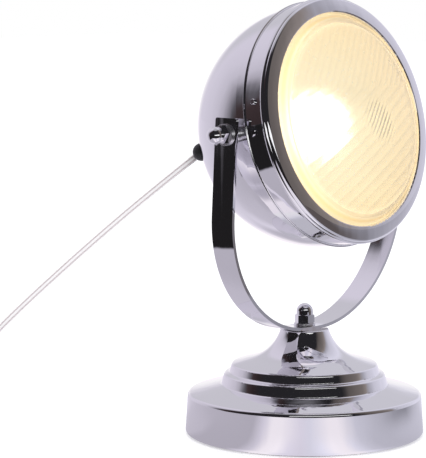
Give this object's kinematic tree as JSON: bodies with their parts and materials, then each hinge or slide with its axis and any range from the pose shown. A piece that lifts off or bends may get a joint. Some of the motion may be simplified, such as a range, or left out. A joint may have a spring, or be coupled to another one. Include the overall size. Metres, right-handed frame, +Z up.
{
  "type": "tabletop searchlight lamp",
  "caption": "Tabletop lamp shaped like a vintage headlamp: a round chromed head with a fluted lens tilts in a U-shaped strap yoke that swivels on a round stepped base.",
  "frame": {"origin": "centre of the round base's underside, on the table", "axes": "+Z up along the base's axis; the head's lens faces -Y at rest; X runs along the pivot axis of the head, +X to the right of somebody who looks at the lens from behind the lamp"},
  "size_m": [0.4356, 0.3465, 0.3291],
  "materials": {
    "chrome": "polished chrome plate",
    "zinc_steel": "bright zinc-plated steel",
    "cast_iron": "as cast, painted black",
    "hardboard": "brown hardboard",
    "felt": "black felt",
    "lens_glass": "clear pressed glass, fluted inside",
    "bulb_glass": "opal glass",
    "reflector": "polished",
    "cap_metal": "plated brass",
    "bakelite": "black moulding",
    "black_rubber": "smooth black rubber",
    "clear_flex": "clear sheath over tinned strands",
    "black_plastic": "black moulding",
    "brass": "bright brass"
  },
  "bodies": {
    "base": {"base_shell": "chrome", "base_weight": "cast_iron", "base_board": "hardboard", "base_felt": "felt", "base_stud": "zinc_steel", "stud_nut": "zinc_steel", "stud_washer": "zinc_steel", "dome_nut_washer": "chrome", "base_dome_nut": "chrome"},
    "yoke": {"yoke_strap": "chrome", "cord_drop": "clear_flex", "cord_on_table": "clear_flex", "cord_to_coil": "clear_flex", "cord_to_plug": "clear_flex", "cord_coil": "clear_flex", "switch_case_bottom": "black_plastic", "switch_case_top": "black_plastic", "switch_screws": "zinc_steel", "plug_body": "black_plastic", "plug_pins": "brass", "plug_relief": "black_plastic"},
    "head": {"head_bowl": "chrome", "trim_ring": "chrome", "trim_screws": "chrome", "lens": "lens_glass", "lens_gasket": "black_rubber", "reflector": "reflector", "lens_clips": "zinc_steel", "lampholder": "bakelite", "holder_ring": "bakelite", "bulb_cap": "cap_metal", "bulb_glass": "bulb_glass", "bulb_filament": "bulb_glass", "pivot_bolts": "zinc_steel", "pivot_inner_washers": "zinc_steel", "pivot_spacers": "chrome", "pivot_washers": "chrome", "pivot_dome_nuts": "chrome", "cord_grommet": "black_rubber", "cord_clamp": "bakelite"},
    "rocker": {"switch_rocker": "black_plastic"}
  },
  "joints": [
    {"name": "yoke_swivel", "type": "hinge", "parent": "base", "child": "yoke", "pos_m": [0, 0, 0.08], "axis": [0, 0, 1], "range_deg": [-175, 175]},
    {"name": "head_tilt", "type": "hinge", "parent": "yoke", "child": "head", "pos_m": [0, -0.00799, 0.2325], "axis": [1, 0, 0], "range_deg": [-45, 45], "deforming": ["cord_drop"]},
    {"name": "switch_rock", "type": "hinge", "parent": "yoke", "child": "rocker", "pos_m": [-0.2471, 0.1706, 0.015], "axis": [-1, 0, 0], "range_deg": [0, 14]}
  ]
}
